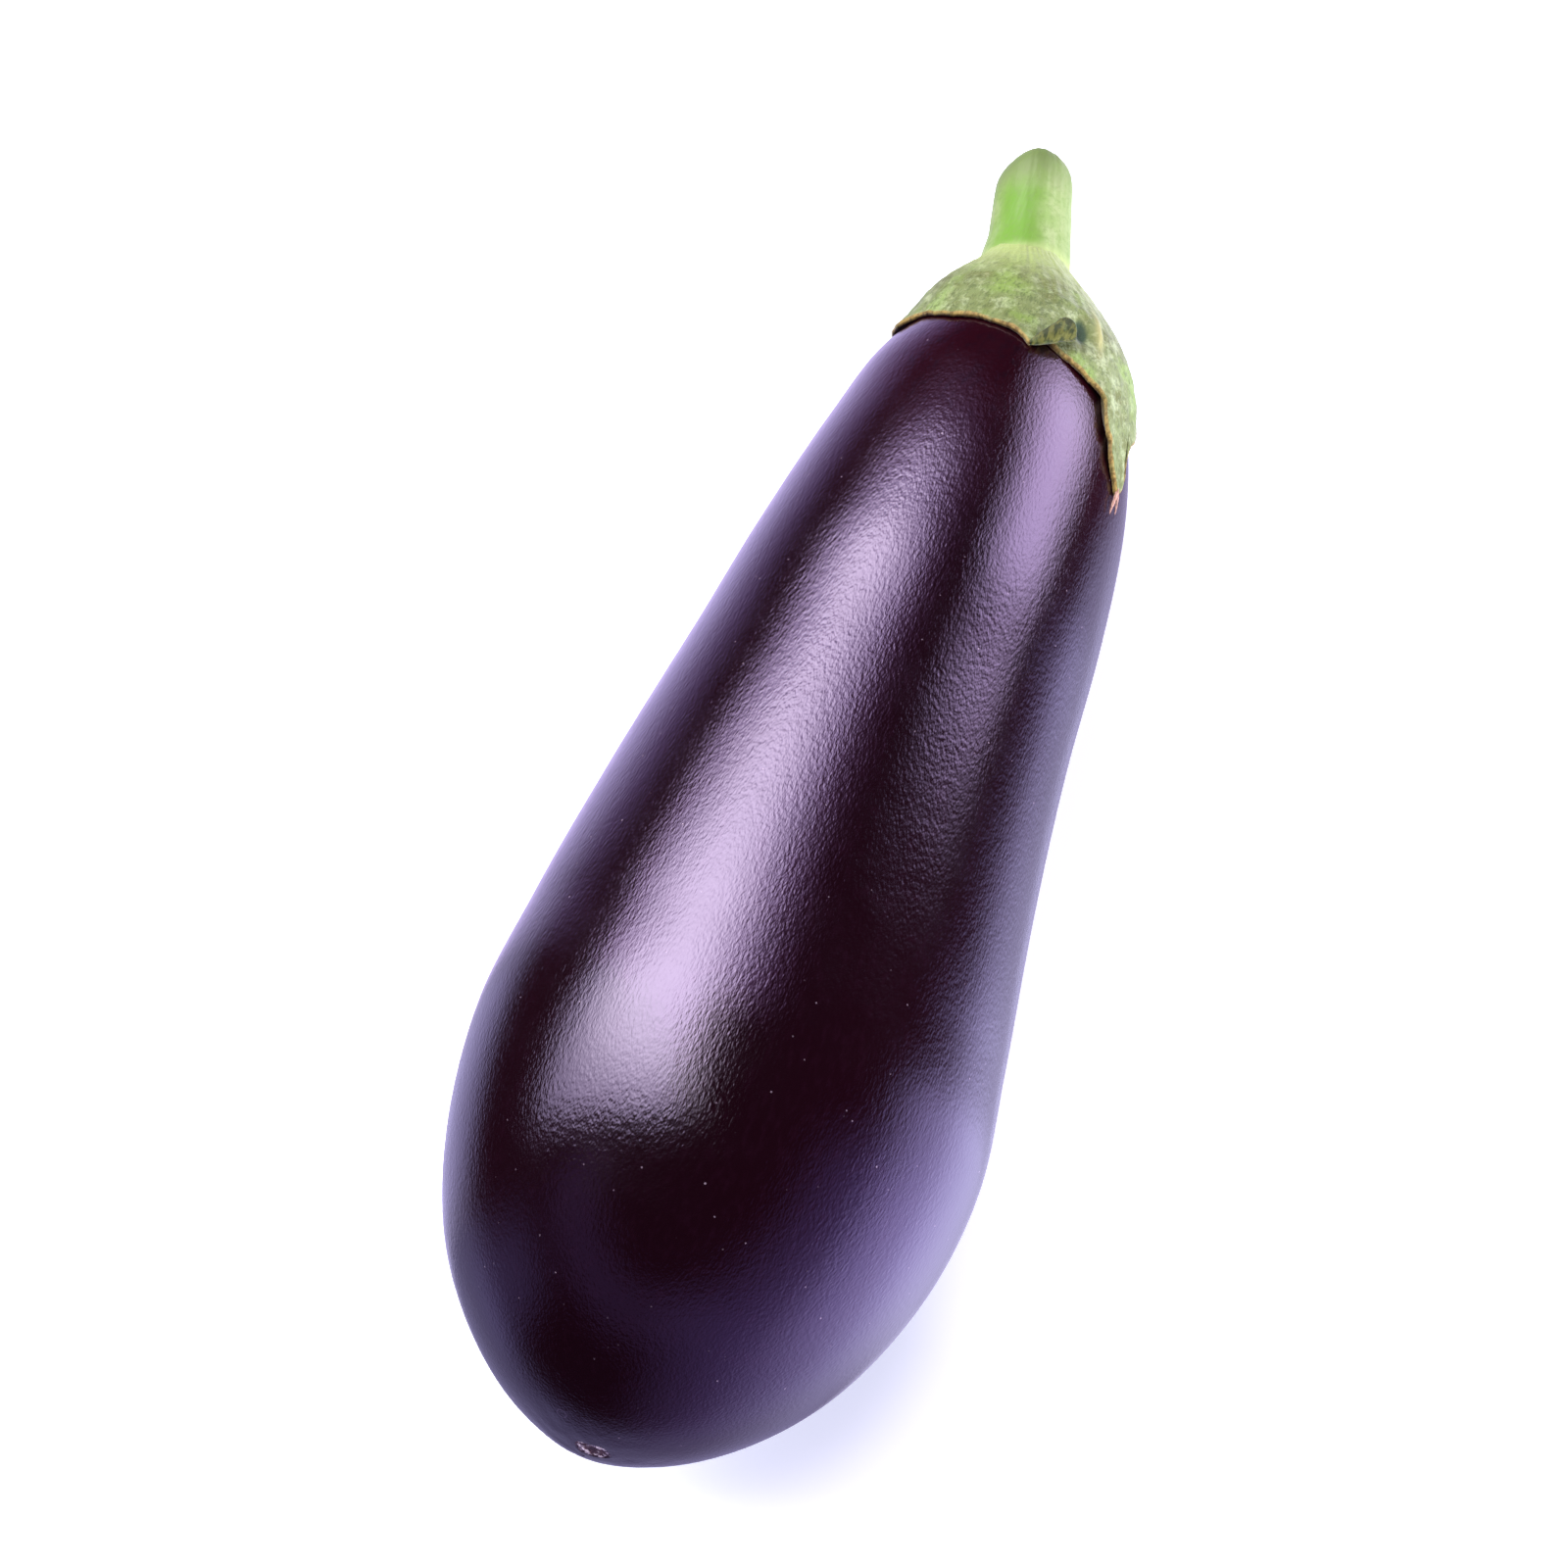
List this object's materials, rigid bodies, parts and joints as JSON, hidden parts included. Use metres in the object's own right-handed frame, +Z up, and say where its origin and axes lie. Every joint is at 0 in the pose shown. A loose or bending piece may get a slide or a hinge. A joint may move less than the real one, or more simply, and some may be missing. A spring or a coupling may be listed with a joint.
{
  "type": "eggplant",
  "caption": "Whole eggplant lying on its side: glossy dark purple fruit with a green calyx of pointed sepals and a short stem cut at a slant.",
  "frame": {"origin": "middle of the ground area that the eggplant covers, at ground level", "axes": "+Z up from the surface it lies on, +Y towards the stem end, +X to the right as seen from the blossom end"},
  "size_m": [0.087, 0.241, 0.0871],
  "materials": {
    "skin": "smooth, waxy and glossy near-black purple skin",
    "calyx": "matt sage green, leathery, with fine pale fuzz",
    "stem": "matt fresh green, fibrous, paler at the collar"
  },
  "bodies": {
    "root": {"fruit": "skin", "calyx": "calyx", "stem": "stem"}
  },
  "joints": []
}
